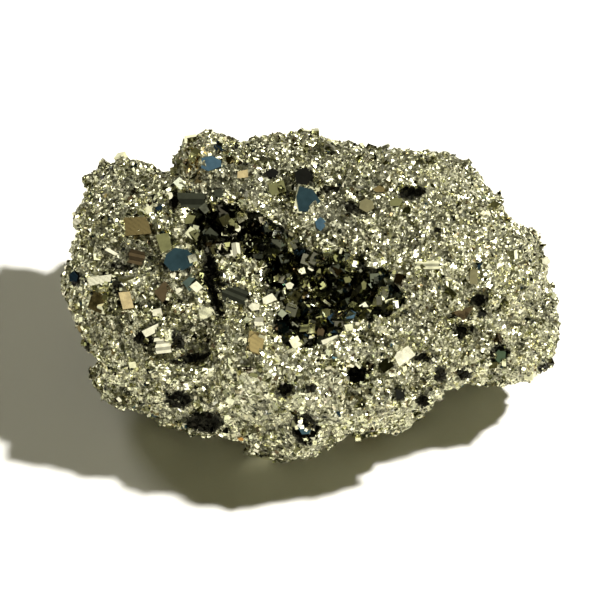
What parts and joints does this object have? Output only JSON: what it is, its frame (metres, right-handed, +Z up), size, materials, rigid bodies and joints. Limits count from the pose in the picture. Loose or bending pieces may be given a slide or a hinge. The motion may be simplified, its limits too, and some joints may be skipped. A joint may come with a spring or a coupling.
{
  "type": "pyrite specimen",
  "caption": "Loose lumpy mass of intergrown pyrite crystals with flat-faced cubes, small pits and a crystal-lined hollow in its upper front, resting on a flat broken patch.",
  "frame": {"origin": "on the resting surface, under the middle of the specimen's bounding box", "axes": "+X along the specimen's length to the viewer's right, +Y to the back, +Z up"},
  "size_m": [0.0742, 0.0522, 0.0374],
  "materials": {
    "pyrite": "satin",
    "hollow_pyrite": "gloss"
  },
  "bodies": {
    "root": {"pyrite_mass": "pyrite", "hollow_crystals": "hollow_pyrite"}
  },
  "joints": []
}
